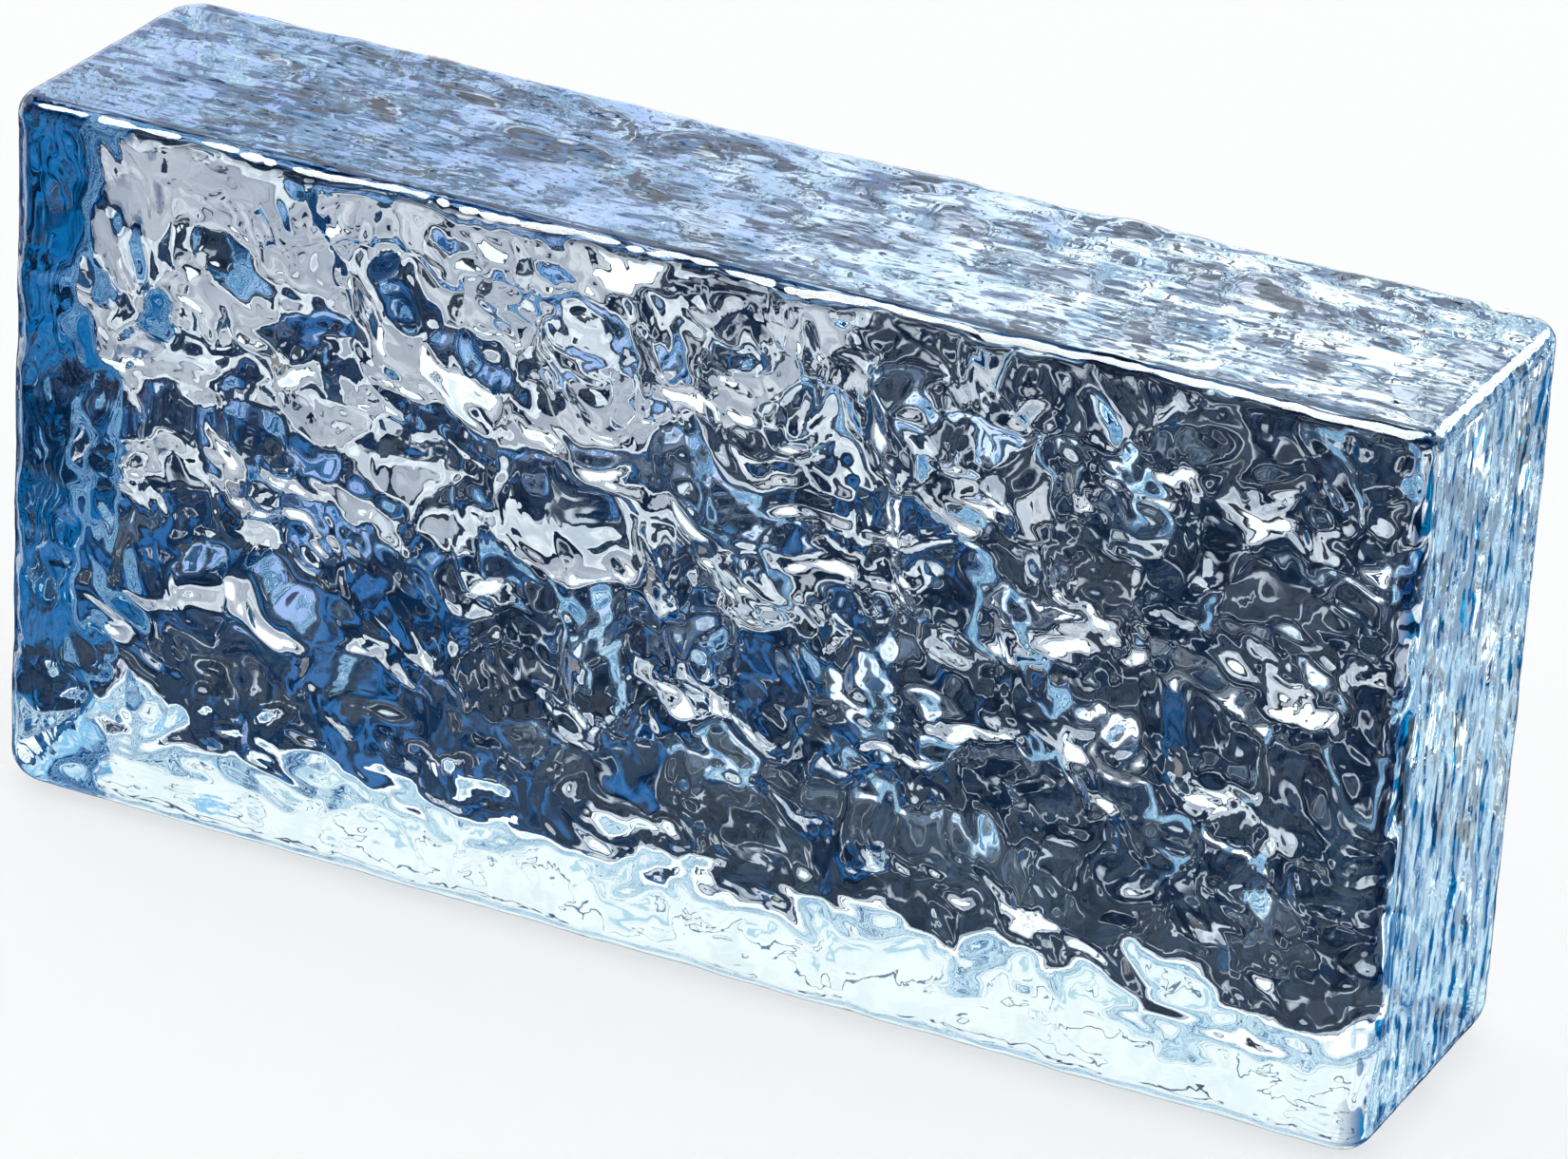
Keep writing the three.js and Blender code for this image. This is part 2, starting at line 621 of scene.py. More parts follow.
@dataclass(frozen=True)
class MouldMarksAndShade:
    """Long marks of the mould on one kind of side, raised a little, with painted shade: the base colour
    is darker in streaks along them, as if their grooves lay in shade.

    A groove is where the cloud of the marks is low: fully darkened by the painted shade under the
    first limit, and clear over the second.
    """

    run: Run
    width: float
    length: float
    groove_shade_width: float
    # The colour of the painted shade that darkens the grooves.
    painted_shade: Colour
    limits: tuple[float, float]
    patchiness: float = 0.35
    patch_size: float = 16 * MM

    def height(self, tree: ShaderTree, place: Socket) -> Socket:
        """Gives the height of the marks.

        Args:
            tree: The material's nodes.
            place: The place on the glass.

        Returns:
            The height, about 0.5 on average.
        """
        return tree.noise(self._stretched(tree, place), 1 / self.width)

    def groove_shade(self, tree: ShaderTree, place: Socket) -> Socket:
        """Marks the grooves that the painted shade darkens, which crowd in patches.

        Args:
            tree: The material's nodes.
            place: The place on the glass.

        Returns:
            1 in a groove and 0 outside.
        """
        cloud = tree.noise(self._stretched(tree, place), 1 / self.groove_shade_width)
        patch = tree.math("SUBTRACT", tree.noise(place, 1 / self.patch_size), NOISE_MIDDLE)
        cloud = tree.math("ADD", cloud, tree.math("MULTIPLY", patch, self.patchiness))
        low, high = self.limits
        return tree.step(cloud, high, low)

    def _stretched(self, tree: ShaderTree, place: Socket) -> Socket:
        """Stretches the place along the marks."""
        stretch = [1.0, 1.0, 1.0]
        stretch[self.run.value] = self.width / self.length
        return tree.stretched(place, tuple(stretch))


MarksHere = tuple[MouldMarksAndShade, Socket]


@dataclass(frozen=True)
class CastGlass:
    """Clear glass with a blue cast that deepens with its thickness, and the marks of its mould, with
    painted shade darkening their grooves in the base colour.

    The marks start at a place along an axis and are full after a ramp, which is shorter at the back
    of the rim than at its front. The rim's marks are painted shade only, with no bump: a dark streaky
    line along the front and back of the top.
    """

    cast: Colour = (0.0, 0.60, 0.917)
    depth: float = 3.0
    bending: float = 1.5
    grain_size: float = 2.2 * MM
    wall_grain: float = 0.03 * MM
    side_grain: float = 0.3 * MM
    end_from: float = 95 * MM
    end_ramp: float = 4 * MM
    top_from: float = 97.5 * MM
    top_ramp: float = 2 * MM
    top_marks_and_shade: MouldMarksAndShade = MouldMarksAndShade(
        Run.ALONG, 2.8 * MM, 8 * MM, 1.9 * MM, (0.06, 0.09, 0.18), (0.38, 0.44)
    )
    end_marks_and_shade: MouldMarksAndShade = MouldMarksAndShade(
        Run.UPRIGHT, 3.2 * MM, 8 * MM, 1.9 * MM, (0.0, 0.05, 0.20), (0.44, 0.49)
    )
    # Painted shade only, with no bump: a near-black streaky line along the front and back of the top's
    # rim.
    painted_rim_shade: MouldMarksAndShade = MouldMarksAndShade(
        Run.ALONG, 0.8 * MM, 22 * MM, 0.8 * MM, (0.002, 0.012, 0.04), (0.50, 0.58)
    )
    rim_from: tuple[float, float] = (18.4 * MM, 21.4 * MM)
    rim_ramps: tuple[float, float] = (1 * MM, 0.5 * MM)

    def material(self) -> bpy.types.Material:
        """Makes the glass.

        Returns:
            The material, with its marks as bump and as painted shade in the base colour, and its colour
            in its volume.
        """
        material = bpy.data.materials.new("cast_glass")
        material.use_nodes = True
        tree = ShaderTree(material.node_tree)
        nodes = material.node_tree.nodes
        surface = nodes["Principled BSDF"]
        surface.inputs["Transmission Weight"].default_value = 1.0
        surface.inputs["Roughness"].default_value = 0.0
        surface.inputs["IOR"].default_value = self.bending
        place = nodes.new("ShaderNodeTexCoord").outputs["Object"]
        marks = self._marks(tree, place)
        # The base colour carries the painted shade of the marks' grooves.
        tree.feed(surface.inputs["Base Color"], self._paint_groove_shade(tree, place, marks))
        bump = nodes.new("ShaderNodeBump")
        tree.feed(bump.inputs["Distance"], self.side_grain)
        tree.feed(bump.inputs["Height"], self._grain(tree, place, marks))
        tree.feed(surface.inputs["Normal"], bump.outputs[0])
        volume = nodes.new("ShaderNodeVolumeAbsorption")
        tree.feed(volume.inputs["Color"], self.cast)
        tree.feed(volume.inputs["Density"], self.depth)
        tree.feed(nodes["Material Output"].inputs["Volume"], volume.outputs[0])
        return material

    def _marks(self, tree: ShaderTree, place: Socket) -> tuple[MarksHere, ...]:
        """Says where the marks of the top and of the ends lie, and the painted shade along the top's
        rim.

        Args:
            tree: The material's nodes.
            place: The place on the glass.

        Returns:
            Each kind of marks, with its share at the place.
        """
        parts = tree.tree.nodes.new("ShaderNodeSeparateXYZ")
        tree.feed(parts.inputs[0], place)
        from_middle = tree.math("ABSOLUTE", parts.outputs[0])
        on_top = tree.step(parts.outputs[2], self.top_from, self.top_from + self.top_ramp)
        on_end = tree.step(from_middle, self.end_from, self.end_from + self.end_ramp)
        front, back = self.rim_from
        front_ramp, back_ramp = self.rim_ramps
        to_front = tree.step(parts.outputs[1], -front, -front - front_ramp)
        to_back = tree.step(parts.outputs[1], back, back + back_ramp)
        on_rim = tree.math("MULTIPLY", tree.math("ADD", to_front, to_back), on_top)
        return ((self.top_marks_and_shade, on_top), (self.end_marks_and_shade, on_end), (self.painted_rim_shade, on_rim))

    def _paint_groove_shade(self, tree: ShaderTree, place: Socket, marks: tuple[MarksHere, ...]) -> Socket:
        """Paints shade into the grooves: a darker base colour in streaks along the marks.

        Args:
            tree: The material's nodes.
            place: The place on the glass.
            marks: Each kind of marks, with its share at the place.

        Returns:
            The colour of the light that the surface lets through, darkened by the painted shade.
        """
        colour: object = (1.0, 1.0, 1.0)
        for kind, share in marks:
            # Painted shade: each kind of marks darkens the base colour in its grooves.
            groove_shade = tree.math("MULTIPLY", kind.groove_shade(tree, place), share)
            colour = tree.mix(groove_shade, colour, kind.painted_shade)
        return colour

    def _grain(self, tree: ShaderTree, place: Socket, marks: tuple[MarksHere, ...]) -> Socket:
        """Makes the fine grain: the marks on the top and the ends, and a faint one on the walls.

        Args:
            tree: The material's nodes.
            place: The place on the glass.
            marks: Each kind of marks, with its share at the place.

        Returns:
            The height of the grain, as a share of the side grain.
        """
        on_top, on_end, _ = marks
        heights = [
            tree.math("MULTIPLY", kind.height(tree, place), share) for kind, share in (on_top, on_end)
        ]
        fine = tree.noise(place, 1 / self.grain_size, detail=0.0)
        on_wall = tree.math("MULTIPLY", fine, self.wall_grain / self.side_grain)
        return tree.math("ADD", on_wall, tree.math("MAXIMUM", *heights))


class Side(Enum):
    """The two sides of the brick that cards stand on, each with the way that it lies along Y."""

    BEHIND = 1
    AHEAD = -1


@dataclass(frozen=True)
class Card:
    """A glowing card lying just over the table, seen only through the glass.

    Its colour goes from the first to the second along X, with spots of the mottle. Where it covers
    less than its whole size, it is cut into patches.
    """

    name: str
    centre: tuple[float, float]
    size: tuple[float, float]
    colours: tuple[Colour, Colour]
    level: float = -0.2 * MM
    colour_reach: float = 0.4
    corner: float = 0.0
    corner_cuts: int = 8
    mottle: Colour | None = None
    mottle_size: float = 20 * MM
    mottle_from: float = 0.4
    mottle_softness: float = 0.2
    cover: float = 1.0
    patch_size: float = 40 * MM
    patch_softness: float = 0.06
    curl: float = 0.5
    one_sided: bool = False

    def set_up(self, side: Side) -> "Card":
        """Gives the card as it is set up on one side of the brick, under a name of its own."""
        centre = (side.value * self.centre[0], side.value * self.centre[1])
        return replace(self, name=f"{self.name}_{side.name.lower()}", centre=centre)

    def _stand(self) -> Matrix:
        """Gives the card's place and the way that it is turned."""
        return Matrix.Translation((self.centre[0], self.centre[1], self.level))

    def build(self) -> bpy.types.Object:
        """Makes the card.

        Returns:
            The card, hidden from the camera, from diffuse and glossy rays and from shadows.
        """
        shape = bmesh.new()
        place = self._stand() @ Matrix.Diagonal((self.size[0], self.size[1], 1.0, 1.0))
        bmesh.ops.create_grid(shape, x_segments=1, y_segments=1, size=0.5, matrix=place)
        if self.corner:
            bmesh.ops.bevel(
                shape,
                geom=shape.verts[:],
                offset=self.corner,
                segments=self.corner_cuts,
                profile=0.5,
                affect="VERTICES",
                material=-1,
            )
        mesh = bpy.data.meshes.new(self.name)
        shape.to_mesh(mesh)
        shape.free()
        card = bpy.data.objects.new(self.name, mesh)
        bpy.context.scene.collection.objects.link(card)
        card.visible_camera = False
        card.visible_diffuse = False
        card.visible_glossy = False
        card.visible_shadow = False
        mesh.materials.append(self._material())
        return card

    def _material(self) -> bpy.types.Material:
        """Makes the card glow, in a colour that changes along X and in patches.

        Returns:
            The material.
        """
        material = bpy.data.materials.new(self.name)
        material.use_nodes = True
        nodes = material.node_tree.nodes
        nodes.remove(nodes["Principled BSDF"])
        tree = ShaderTree(material.node_tree)
        place = nodes.new("ShaderNodeTexCoord").outputs["Object"]
        along = nodes.new("ShaderNodeSeparateXYZ")
        tree.feed(along.inputs[0], place)
        reach = self.colour_reach * self.size[0]
        share = tree.step(along.outputs[0], self.centre[0] - reach, self.centre[0] + reach)
        colour = tree.mix(share, *self.colours)
        if self.mottle is not None:
            cloud = tree.noise(place, 1 / self.mottle_size, curl=self.curl)
            spots = tree.step(cloud, self.mottle_from, self.mottle_from + self.mottle_softness)
            colour = tree.mix(spots, colour, self.mottle)
        glow = nodes.new("ShaderNodeEmission")
        tree.feed(glow.inputs["Color"], colour)
        shown = glow.outputs[0]
        if self.cover < 1:
            edge = NOISE_MIDDLE + NOISE_SPREAD * (0.5 - self.cover)
            half = self.patch_softness / 2
            patch = tree.noise(place, 1 / self.patch_size, curl=self.curl)
            clear = nodes.new("ShaderNodeBsdfTransparent").outputs[0]
            shown = tree.blend(tree.step(patch, edge - half, edge + half), clear, shown)
        if self.one_sided:
            is_back = nodes.new("ShaderNodeNewGeometry").outputs["Backfacing"]
            clear = nodes.new("ShaderNodeBsdfTransparent").outputs[0]
            shown = tree.blend(is_back, shown, clear)
        tree.feed(nodes["Material Output"].inputs["Surface"], shown)
        return material


@dataclass(frozen=True)
class Screen(Card):
    """A card that stands up, as tall as its first size, and is clear from behind.

    It faces a heading, in degrees round from +X, and leans over to face lower, in degrees too.
    """

    facing: float = 0.0
    lean: float = 0.0
    one_sided: bool = True

    def set_up(self, side: Side) -> "Screen":
        """Gives the screen as it is set up on one side of the brick, turned about with it."""
        facing = self.facing if side is Side.BEHIND else self.facing - HALF_TURN
        return replace(super().set_up(side), facing=facing)

    def _stand(self) -> Matrix:
        """Gives the screen's place, stood up and turned to its heading."""
        lean = Matrix.Rotation(math.pi / 2 + math.radians(self.lean), 4, "Y")
        turn = Matrix.Rotation(math.radians(self.facing), 4, "Z") @ lean
        return Matrix.Translation((self.centre[0], self.centre[1], self.level)) @ turn


@dataclass(frozen=True)
class Panel:
    """A flag or white panel of the room, from one heading and height to another, in degrees.

    Headings are folded to half a turn, so that the room looks the same from both sides, unless the
    panel hangs on one side only, where they run from -180 to 180.
    """

    turns: tuple[float, float]
    levels: tuple[float, float]
    colour: Colour
    mottle: Colour | None = None
    softness: float = 1.0
    folded: bool = True


@dataclass
class Studio:
    """The pale table, and the room that the glass shows: dark flags low down, white panels over them.

    A box holds the first and last heading and the lowest and highest level, in degrees. The side box
    is a lamp, and the side and front boards are mottled. Those, the lamp overhead and the tall flag
    are seen only in what gleams on the outside of the glass.
    """

    panels: tuple[Panel, ...]
    cards: tuple[Card, ...] = ()
    table_level: float = -0.6 * MM
    table_size: float = 20.0
    table_colour: Colour = (0.98, 0.985, 0.99)
    table_glow: float = 0.6
    backdrop: Colour = (0.985, 0.99, 0.995)
    unevenness: float = 14.0
    unevenness_scale: float = 3.0
    mottle_scale: float = 9.0
    mottle_limits: tuple[float, float] = (0.35, 0.65)
    board_limits: tuple[float, float] = (0.45, 0.55)
    overhead_from: float = 56.0
    overhead_strength: float = 18.0
    side_strength: float = 10.0
    side_box: Box = (50.0, 86.0, 10.0, 36.0)
    board_box: Box = (10.0, 88.0, -50.0, 10.0)
    board_colours: tuple[Colour, Colour] = ((0.02, 0.16, 0.42), (1.2, 1.4, 1.4))
    front_box: Box = (-179.0, -20.0, -14.0, 37.0)
    front_colours: tuple[Colour, Colour] = ((0.06, 0.10, 0.18), (0.36, 0.44, 0.62))
    turn_ramp: float = 2.0
    level_ramp: float = 1.0
    flag_levels: tuple[float, float] = (36.0, 55.0)
    flag_colour: Colour = (0.01, 0.03, 0.07)

    def build(self) -> None:
        """Makes the table, the cards and the room."""
        self._table()
        for card in self.cards:
            card.build()
        self._room()

    def _table(self) -> bpy.types.Object:
        """Makes the matt table top.

        Returns:
            The table, hidden from glossy and transmission rays.
        """
        shape = bmesh.new()
        place = Matrix.Translation((0.0, 0.0, self.table_level))
        bmesh.ops.create_grid(shape, x_segments=1, y_segments=1, size=self.table_size / 2, matrix=place)
        mesh = bpy.data.meshes.new("table")
        shape.to_mesh(mesh)
        shape.free()
        table = bpy.data.objects.new("table", mesh)
        bpy.context.scene.collection.objects.link(table)
        table.visible_transmission = False
        table.visible_glossy = False
        material = bpy.data.materials.new("table")
        material.use_nodes = True
        surface = material.node_tree.nodes["Principled BSDF"]
        surface.inputs["Base Color"].default_value = (*self.table_colour, 1.0)
        surface.inputs["Roughness"].default_value = 1.0
        surface.inputs["Specular IOR Level"].default_value = 0.0
        tree = ShaderTree(material.node_tree)
        nodes = material.node_tree.nodes
        glow = nodes.new("ShaderNodeEmission")
        tree.feed(glow.inputs["Color"], self.backdrop)
        is_camera = nodes.new("ShaderNodeLightPath").outputs["Is Camera Ray"]
        share = tree.math("MULTIPLY", is_camera, self.table_glow)
        shown = tree.blend(share, surface.outputs[0], glow.outputs[0])
        tree.feed(nodes["Material Output"].inputs["Surface"], shown)
        mesh.materials.append(material)
        return table

    def _room(self) -> None:
        """Makes the room: even white light, and the flags and panels that only the glass shows."""
        world = bpy.data.worlds.new("studio")
        bpy.context.scene.world = world
        world.cycles.sampling_method = "NONE"
        world.use_nodes = True
        nodes = world.node_tree.nodes
        tree = ShaderTree(world.node_tree)
        heading = nodes.new("ShaderNodeTexCoord").outputs["Generated"]
        parts = nodes.new("ShaderNodeSeparateXYZ")
        tree.feed(parts.inputs[0], heading)
        turn = tree.math("MULTIPLY", tree.math("ARCTAN2", parts.outputs[1], parts.outputs[0]), DEGREES)
        level = tree.math("MULTIPLY", tree.math("ARCSINE", parts.outputs[2]), DEGREES)
        shown = self._panels(tree, heading, turn, level)
        rays = nodes.new("ShaderNodeLightPath").outputs
        is_glass = tree.math("ADD", rays["Is Glossy Ray"], rays["Is Transmission Ray"], clamp=True)
        colour = tree.mix(is_glass, (1.0, 1.0, 1.0), shown)
        colour = tree.mix(rays["Is Camera Ray"], colour, self.backdrop)
        is_mirrored = tree.math(
            "SUBTRACT", rays["Is Glossy Ray"], rays["Is Transmission Ray"], clamp=True
        )
        cloud = tree.step(tree.noise(heading, self.mottle_scale), *self.board_limits)
        boards = ((self.board_box, self.board_colours), (self.front_box, self.front_colours))
        for box, colours in boards:
            board = tree.math("MULTIPLY", self._patch(tree, turn, level, box), is_mirrored)
            colour = tree.mix(board, colour, tree.mix(cloud, *colours))
        flag = self._band(tree, level, self.flag_levels, self.level_ramp)
        colour = tree.mix(tree.math("MULTIPLY", flag, is_mirrored), colour, self.flag_colour)
        background = nodes["Background"]
        tree.feed(background.inputs["Color"], colour)
        gleam = tree.math("MULTIPLY", self._lamps(tree, turn, level), is_mirrored)
        tree.feed(background.inputs["Strength"], tree.math("ADD", gleam, 1.0))

    def _panels(self, tree: ShaderTree, heading: Socket, turn: Socket, level: Socket) -> Socket:
        """Hangs the flags and panels of the room over each other, in their order.

        Args:
            tree: The world's nodes.
            heading: The direction that is looked in.
            turn: The same, round from +X, in degrees.
            level: The same, over the horizon, in degrees.

        Returns:
            The colour in that direction.
        """
        folded = tree.math("MODULO", tree.math("ADD", turn, FULL_TURN), HALF_TURN)
        sway = tree.math("SUBTRACT", tree.noise(heading, self.unevenness_scale), NOISE_MIDDLE)
        level = tree.math("ADD", level, tree.math("MULTIPLY", sway, self.unevenness))
        mottle = tree.step(tree.noise(heading, self.mottle_scale), *self.mottle_limits)
        colour: object = (1.0, 1.0, 1.0)
        for panel in self.panels:
            half = panel.softness / 2
            share: object = 1.0
            around, all_around = (folded, ALL_ROUND) if panel.folded else (turn, BOTH_WAYS)
            for value, (low, high), (lowest, highest) in (
                (around, panel.turns, all_around),
                (level, panel.levels, UP_AND_DOWN),
            ):
                if low > lowest:
                    share = tree.math("MULTIPLY", share, tree.step(value, low - half, low + half))
                if high < highest:
                    share = tree.math("MULTIPLY", share, tree.step(value, high + half, high - half))
            own: object = panel.colour
            if panel.mottle is not None:
                own = tree.mix(mottle, panel.colour, panel.mottle)
            colour = tree.mix(share, colour, own)
        return colour

    def _patch(self, tree: ShaderTree, turn: Socket, level: Socket, box: Box) -> Socket:
        """Marks the directions that lie in a box of headings and heights.

        Args:
            tree: The world's nodes.
            turn: The direction, round from +X, in degrees.
            level: The direction over the horizon, in degrees.
            box: The first and last heading, and the lowest and highest level.

        Returns:
            1 in the box and 0 outside.
        """
        from_turn, to_turn, from_level, to_level = box
        tall = self._band(tree, level, (from_level, to_level), self.level_ramp)
        wide = self._band(tree, turn, (from_turn, to_turn), self.turn_ramp)
        return tree.math("MULTIPLY", tall, wide)

    @staticmethod
    def _band(tree: ShaderTree, value: Socket, limits: tuple[float, float], ramp: float) -> Socket:
        """Marks the directions that lie between two limits.

        Args:
            tree: The world's nodes.
            value: The heading or the level, in degrees.
            limits: Where the band begins and ends.
            ramp: How far inside its limits the band is full.

        Returns:
            1 inside the band and 0 outside.
        """
        low, high = limits
        rise = tree.step(value, low, low + ramp)
        fall = tree.step(value, high, high - ramp)
        return tree.math("MULTIPLY", rise, fall)

    def _lamps(self, tree: ShaderTree, turn: Socket, level: Socket) -> Socket:
        """Adds the overhead and side soft boxes that gleam along the edges.

        Args:
            tree: The world's nodes.
            turn: The direction, round from +X, in degrees.
            level: The direction over the horizon, in degrees.

        Returns:
            The strength that they add in that direction.
        """
        overhead = tree.step(level, self.overhead_from, self.overhead_from + self.level_ramp)
        side = self._patch(tree, turn, level, self.side_box)
        return tree.math(
            "ADD",
            tree.math("MULTIPLY", overhead, self.overhead_strength),
            tree.math("MULTIPLY", side, self.side_strength),
        )


@dataclass(frozen=True)
class PictureCamera:
    """The camera, placed by what it looks at and from which way.

    The heading, elevation and roll are in degrees, and the focal length is in pixels of the picture.
    """

    target: tuple[float, float, float] = (4.94 * MM, 0.0, 48.49 * MM)
    heading: float = 24.97
    elevation: float = 24.98
    roll: float = 3.48
    distance: float = 0.9574
    focal_pixels: float = 7749.0
    sensor: float = 36.0
    nearest: float = 0.01

    def build(self) -> bpy.types.Object:
        """Makes the camera and puts it in use.

        Returns:
            The camera.
        """
        heading, elevation, roll = map(math.radians, (self.heading, self.elevation, self.roll))
        back = Vector(
            (
                math.sin(heading) * math.cos(elevation),
                -math.cos(heading) * math.cos(elevation),
                math.sin(elevation),
            )
        )
        level_right = Vector((math.cos(heading), math.sin(heading), 0.0))
        level_up = back.cross(level_right)
        right = math.cos(roll) * level_right + math.sin(roll) * level_up
        up = math.cos(roll) * level_up - math.sin(roll) * level_right
        lens = bpy.data.cameras.new("picture_camera")
        lens.sensor_fit = "HORIZONTAL"
        lens.sensor_width = self.sensor
        lens.lens = self.focal_pixels * self.sensor / PICTURE_WIDTH
        lens.clip_start = self.nearest
        camera = bpy.data.objects.new("picture_camera", lens)
        bpy.context.scene.collection.objects.link(camera)
        stand = Matrix((right, up, back)).transposed().to_4x4()
        stand.translation = Vector(self.target) + back * self.distance
        camera.matrix_world = stand
        bpy.context.scene.camera = camera
        return camera


FRONT_FOLDS = (
    Fold((0.145, 0.88), (0.18, 0.18), 0.8 * MM, 3 * MM),
    Fold((-0.23, 0.86), (0.13, 0.64), 0.8 * MM, -5 * MM),
    Fold((-0.45, 0.5), (-0.19, 0.53), 0.7 * MM, 9 * MM),
    Fold((0.2, 0.32), (0.48, 0.12), 0.7 * MM, -3 * MM),
    Fold((0.23, 0.64), (0.32, 0.5), 0.7 * MM, -4 * MM),
    Fold((-0.43, 0.88), (-0.37, 0.6), 0.6 * MM, 3 * MM),
    Fold((0.0, 0.46), (0.12, 0.3), 0.8 * MM, -6 * MM),
    Fold((-0.3, 0.2), (-0.04, 0.26), 0.6 * MM, 4 * MM),
)
BACK_FOLDS = (
    Fold((-0.35, 0.8), (-0.1, 0.6), 0.7 * MM, 5 * MM),
    Fold((0.05, 0.7), (0.3, 0.85), 0.7 * MM, -5 * MM),
    Fold((-0.2, 0.3), (0.15, 0.44), 0.7 * MM, 6 * MM),
    Fold((0.3, 0.2), (0.42, 0.6), 0.7 * MM, 4 * MM),
    Fold((-0.45, 0.2), (-0.35, 0.5), 0.6 * MM, 3 * MM),
)
POOLS = (
    Pool(75 * MM, 80 * MM, 11 * MM),
    Pool(72 * MM, 60 * MM, 10 * MM),
    Pool(-64 * MM, 34 * MM, 12 * MM),
    Pool(24 * MM, 36 * MM, 9 * MM),
    Pool(-15 * MM, 57 * MM, 9 * MM),
    Pool(45 * MM, 90 * MM, 8 * MM),
    Pool(88 * MM, 50 * MM, 9 * MM),
    Pool(-40 * MM, 88 * MM, 7 * MM),
    Pool(-80 * MM, 87 * MM, 12 * MM),
    Pool(60 * MM, 30 * MM, 8 * MM),
)


BLACK = (0.003, 0.004, 0.008)
PANELS = (
    Panel(ALL_ROUND, (-90.0, -42.0), (0.020, 0.030, 0.055), (0.11, 0.15, 0.23)),
    Panel((130.0, 180.0), (-90.0, -48.0), (0.12, 0.18, 0.36), (0.9, 1.0, 1.15)),
    Panel(ALL_ROUND, (-42.0, -14.0), (0.006, 0.012, 0.028), (0.022, 0.040, 0.080)),
    Panel(ALL_ROUND, (-36.0, -34.8), (0.02, 0.03, 0.06), (0.62, 0.66, 0.72), softness=0.4),
    Panel(ALL_ROUND, (-24.5, -22.5), (0.03, 0.04, 0.07), (0.66, 0.70, 0.76), softness=0.5),
    Panel(ALL_ROUND, (-14.0, -9.0), (0.42, 0.46, 0.55), (0.80, 0.84, 0.90), softness=0.5),
    Panel(ALL_ROUND, (-9.0, -7.0), BLACK, softness=0.5),
    Panel(ALL_ROUND, (-7.0, 90.0), (0.98, 1.05, 1.03), (1.10, 1.14, 1.12), softness=0.5),
    Panel(ALL_ROUND, (-7.0, 8.0), (1.2, 1.35, 1.4), (1.4, 1.45, 1.45), softness=2.0),
    Panel((152.0, 180.0), (-20.0, 12.0), (1.3, 1.4, 1.4), (3.4, 3.1, 2.8), softness=2.0),
    Panel(ALL_ROUND, (18.0, 18.8), (0.05, 0.09, 0.16), softness=0.4),
    Panel(ALL_ROUND, (28.0, 28.6), (0.10, 0.20, 0.28), softness=0.4),
    Panel((90.0, 152.0), (36.0, 39.0), (0.55, 0.78, 0.86), softness=1.5),
    Panel(ALL_ROUND, (44.0, 44.7), (0.10, 0.20, 0.28), softness=0.4),
    Panel((0.0, 14.0), (-35.0, 12.0), (1.3, 1.4, 1.4), (3.0, 2.8, 2.6), softness=2.0),
    Panel((14.0, 88.0), (-90.0, 2.0), (0.004, 0.03, 0.09), (0.012, 0.08, 0.22), softness=2.0),
    Panel((-34.0, 34.0), (-90.0, 62.0), (0.002, 0.04, 0.13), (0.02, 0.20, 0.50), folded=False),
)


def front_relief() -> WallRelief:
    """Sets up the relief of the front wall: waves and folds with curls on them.

    Returns:
        The relief.
    """
    return WallRelief(
        wall=Wall.FRONT,
        folds=FRONT_FOLDS,
        pools=POOLS,
        swell=CloudRelief(1.0 * MM, 6 * MM, 11.0, curl=6 * MM),
        curls=CloudRelief(0.5 * MM, 2.8 * MM, 23.0, octaves=1, curl=2.5 * MM, curl_size=6 * MM),
        patches=CloudRelief(1.8, 26 * MM, 50.0),
    )


def back_relief() -> WallRelief:
    """Sets up the relief of the back wall, which is calmer.

    Returns:
        The relief.
    """
    return WallRelief(
        wall=Wall.BACK,
        folds=BACK_FOLDS,
        pools=POOLS,
        swell=CloudRelief(0.6 * MM, 6 * MM, 42.7, octaves=1, curl=6 * MM),
        turned_about=57 * MM,
    )


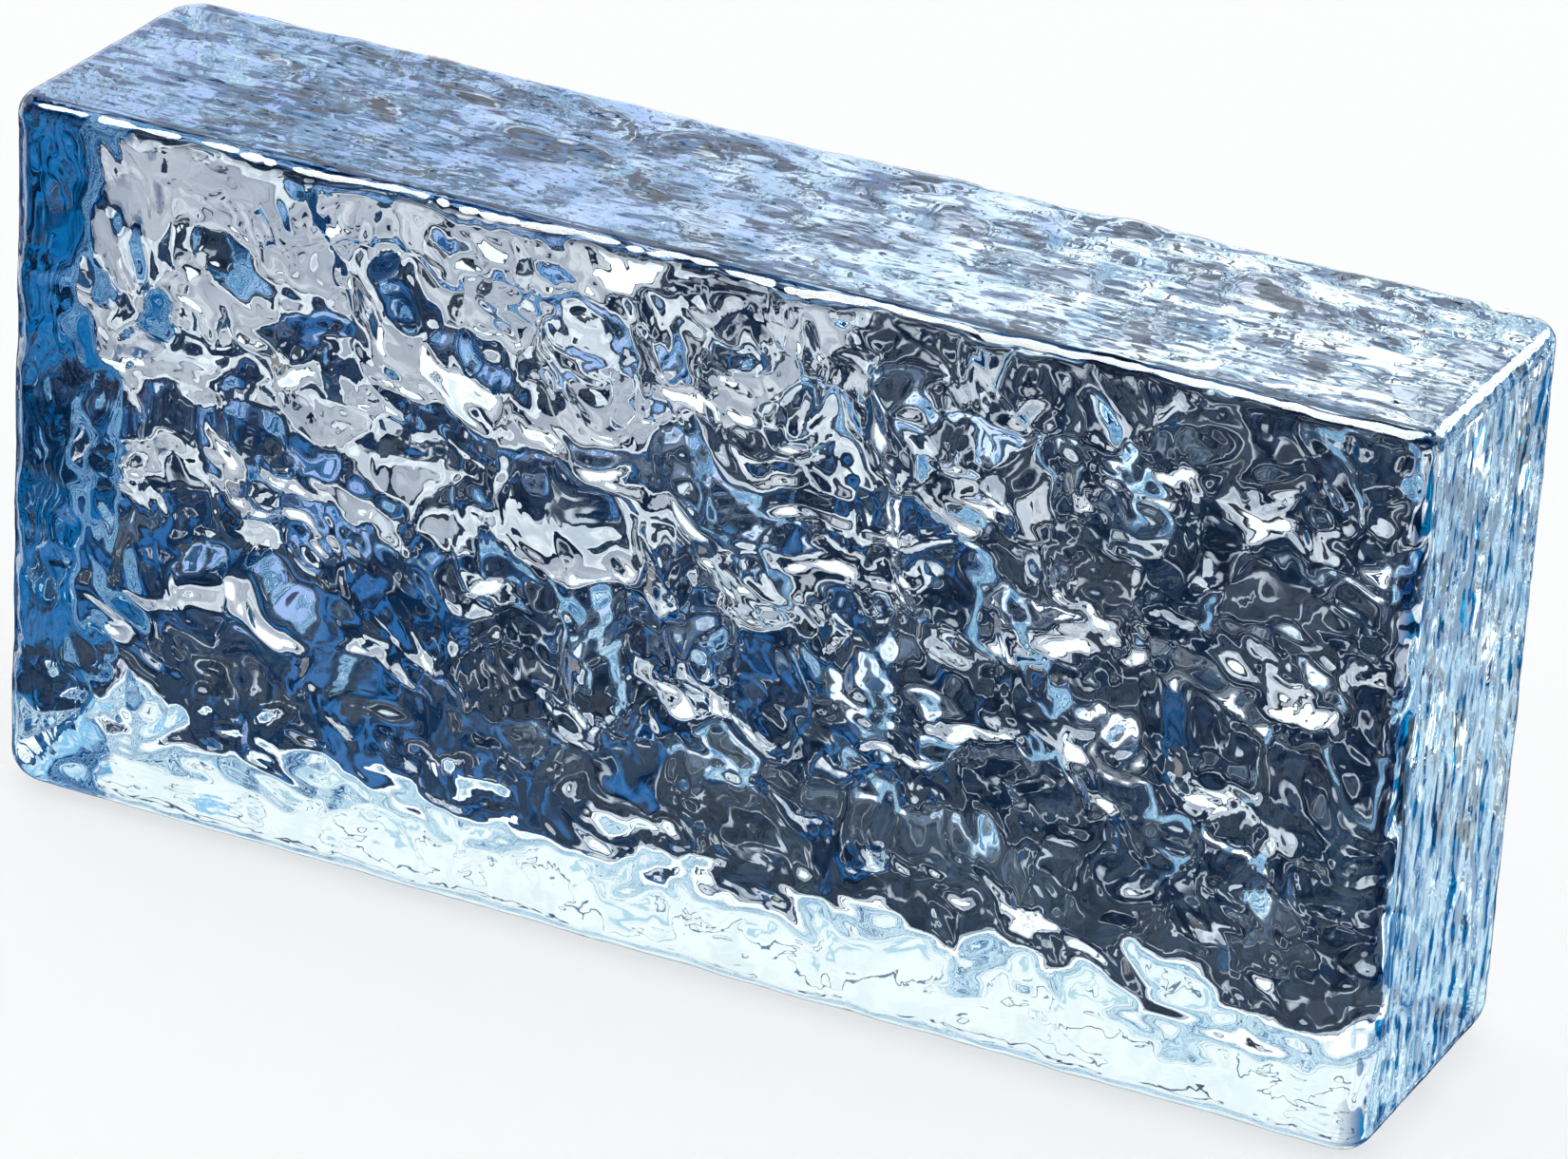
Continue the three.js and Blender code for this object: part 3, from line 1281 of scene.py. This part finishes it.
def side_cards() -> tuple[Card, ...]:
    """Lays out the cards behind the brick, and the same again in front of it, turned about.

    Returns:
        The cards.
    """
    behind = (
        Screen(
            name="blue_screen",
            centre=(-86 * MM, 46 * MM),
            size=(110 * MM, 42 * MM),
            level=50 * MM,
            facing=HALF_TURN,
            colours=((0.0, 0.008, 0.035), (0.0, 0.008, 0.035)),
            mottle=(0.002, 0.15, 0.42),
            mottle_size=10 * MM,
        ),
        Screen(
            name="corner_screen",
            centre=(-95 * MM, 47 * MM),
            size=(26 * MM, 41 * MM),
            level=24 * MM,
            facing=HALF_TURN,
            lean=45.0,
            colours=((0.85, 1.0, 1.08), (0.85, 1.0, 1.08)),
            mottle=(0.25, 0.60, 0.90),
            mottle_size=8 * MM,
        ),
        Card(
            name="bed_end_card",
            centre=(-91 * MM, 0.0),
            size=(10 * MM, 36 * MM),
            level=-0.3 * MM,
            colours=((0.01, 0.08, 0.20), (0.03, 0.16, 0.36)),
        ),
        Card(
            name="silver_card",
            centre=(-245 * MM, 280 * MM),
            size=(260 * MM, 270 * MM),
            corner=30 * MM,
            colours=((0.45, 0.47, 0.54), (0.45, 0.47, 0.54)),
            mottle=(0.78, 0.78, 0.82),
            mottle_size=110 * MM,
            mottle_from=0.35,
            mottle_softness=0.3,
            cover=0.9,
            patch_size=75 * MM,
            patch_softness=0.05,
        ),
        Card(
            name="dim_card",
            centre=(-15 * MM, 280 * MM),
            size=(200 * MM, 260 * MM),
            corner=30 * MM,
            colours=((0.15, 0.16, 0.21), (0.15, 0.16, 0.21)),
            mottle=(0.55, 0.58, 0.62),
            mottle_size=80 * MM,
            mottle_softness=0.3,
            cover=0.2,
            patch_size=80 * MM,
            patch_softness=0.05,
        ),
        Card(
            name="pale_card",
            centre=(-105 * MM, 132 * MM),
            size=(150 * MM, 36 * MM),
            corner=15 * MM,
            colours=((0.66, 0.70, 0.76), (0.66, 0.70, 0.76)),
            mottle=(1.05, 1.08, 1.10),
            mottle_size=30 * MM,
        ),
        Card(
            name="blue_card",
            centre=(-65 * MM, 66 * MM),
            size=(130 * MM, 70 * MM),
            corner=25 * MM,
            colours=((0.004, 0.02, 0.06), (0.004, 0.02, 0.06)),
            mottle=(0.03, 0.15, 0.40),
            mottle_size=16 * MM,
            mottle_from=0.45,
            cover=0.5,
            patch_size=40 * MM,
        ),
    )
    return tuple(card.set_up(side) for side in Side for card in behind)


def set_look() -> None:
    """Sets how colours are shown and how far light is followed through the glass."""
    scene = bpy.context.scene
    scene.view_settings.view_transform = "Standard"
    for bounces in ("max_bounces", "transmission_bounces", "glossy_bounces"):
        setattr(scene.cycles, bounces, BOUNCES)
    scene.cycles.transparent_max_bounces = BOUNCES


def main() -> None:
    """Builds the camera, the brick and the studio in order."""
    logging.basicConfig(level=logging.INFO, format="%(name)s: %(message)s")
    set_look()
    PictureCamera().build()
    low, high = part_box(NODE)
    form = BlockForm(length=high[0] - low[0], height=high[2] - low[2])
    brick = GlassBrick(
        form=form,
        walls=(front_relief(), back_relief()),
        skin=CloudRelief(0.12 * MM, 4 * MM, 3.3, curl=2 * MM, curl_size=6 * MM),
        finish=CastGlass(),
    ).build()
    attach(brick, BODY)
    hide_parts(NODE)
    LOG.info("%s: %d faces", brick.name, len(brick.data.polygons))
    bed = Card(
        name="bed_card",
        centre=(0.0, 0.0),
        size=(form.length + 4 * MM, form.thickness + 4 * MM),
        level=-0.4 * MM,
        colours=((0.48, 0.60, 0.98), (1.95, 1.82, 1.7)),
        mottle=(0.05, 0.06, 0.12),
        mottle_size=12 * MM,
        mottle_from=0.56,
        mottle_softness=0.06,
    )
    Studio(panels=PANELS, cards=(bed, *side_cards())).build()


if __name__ == "__main__":
    main()
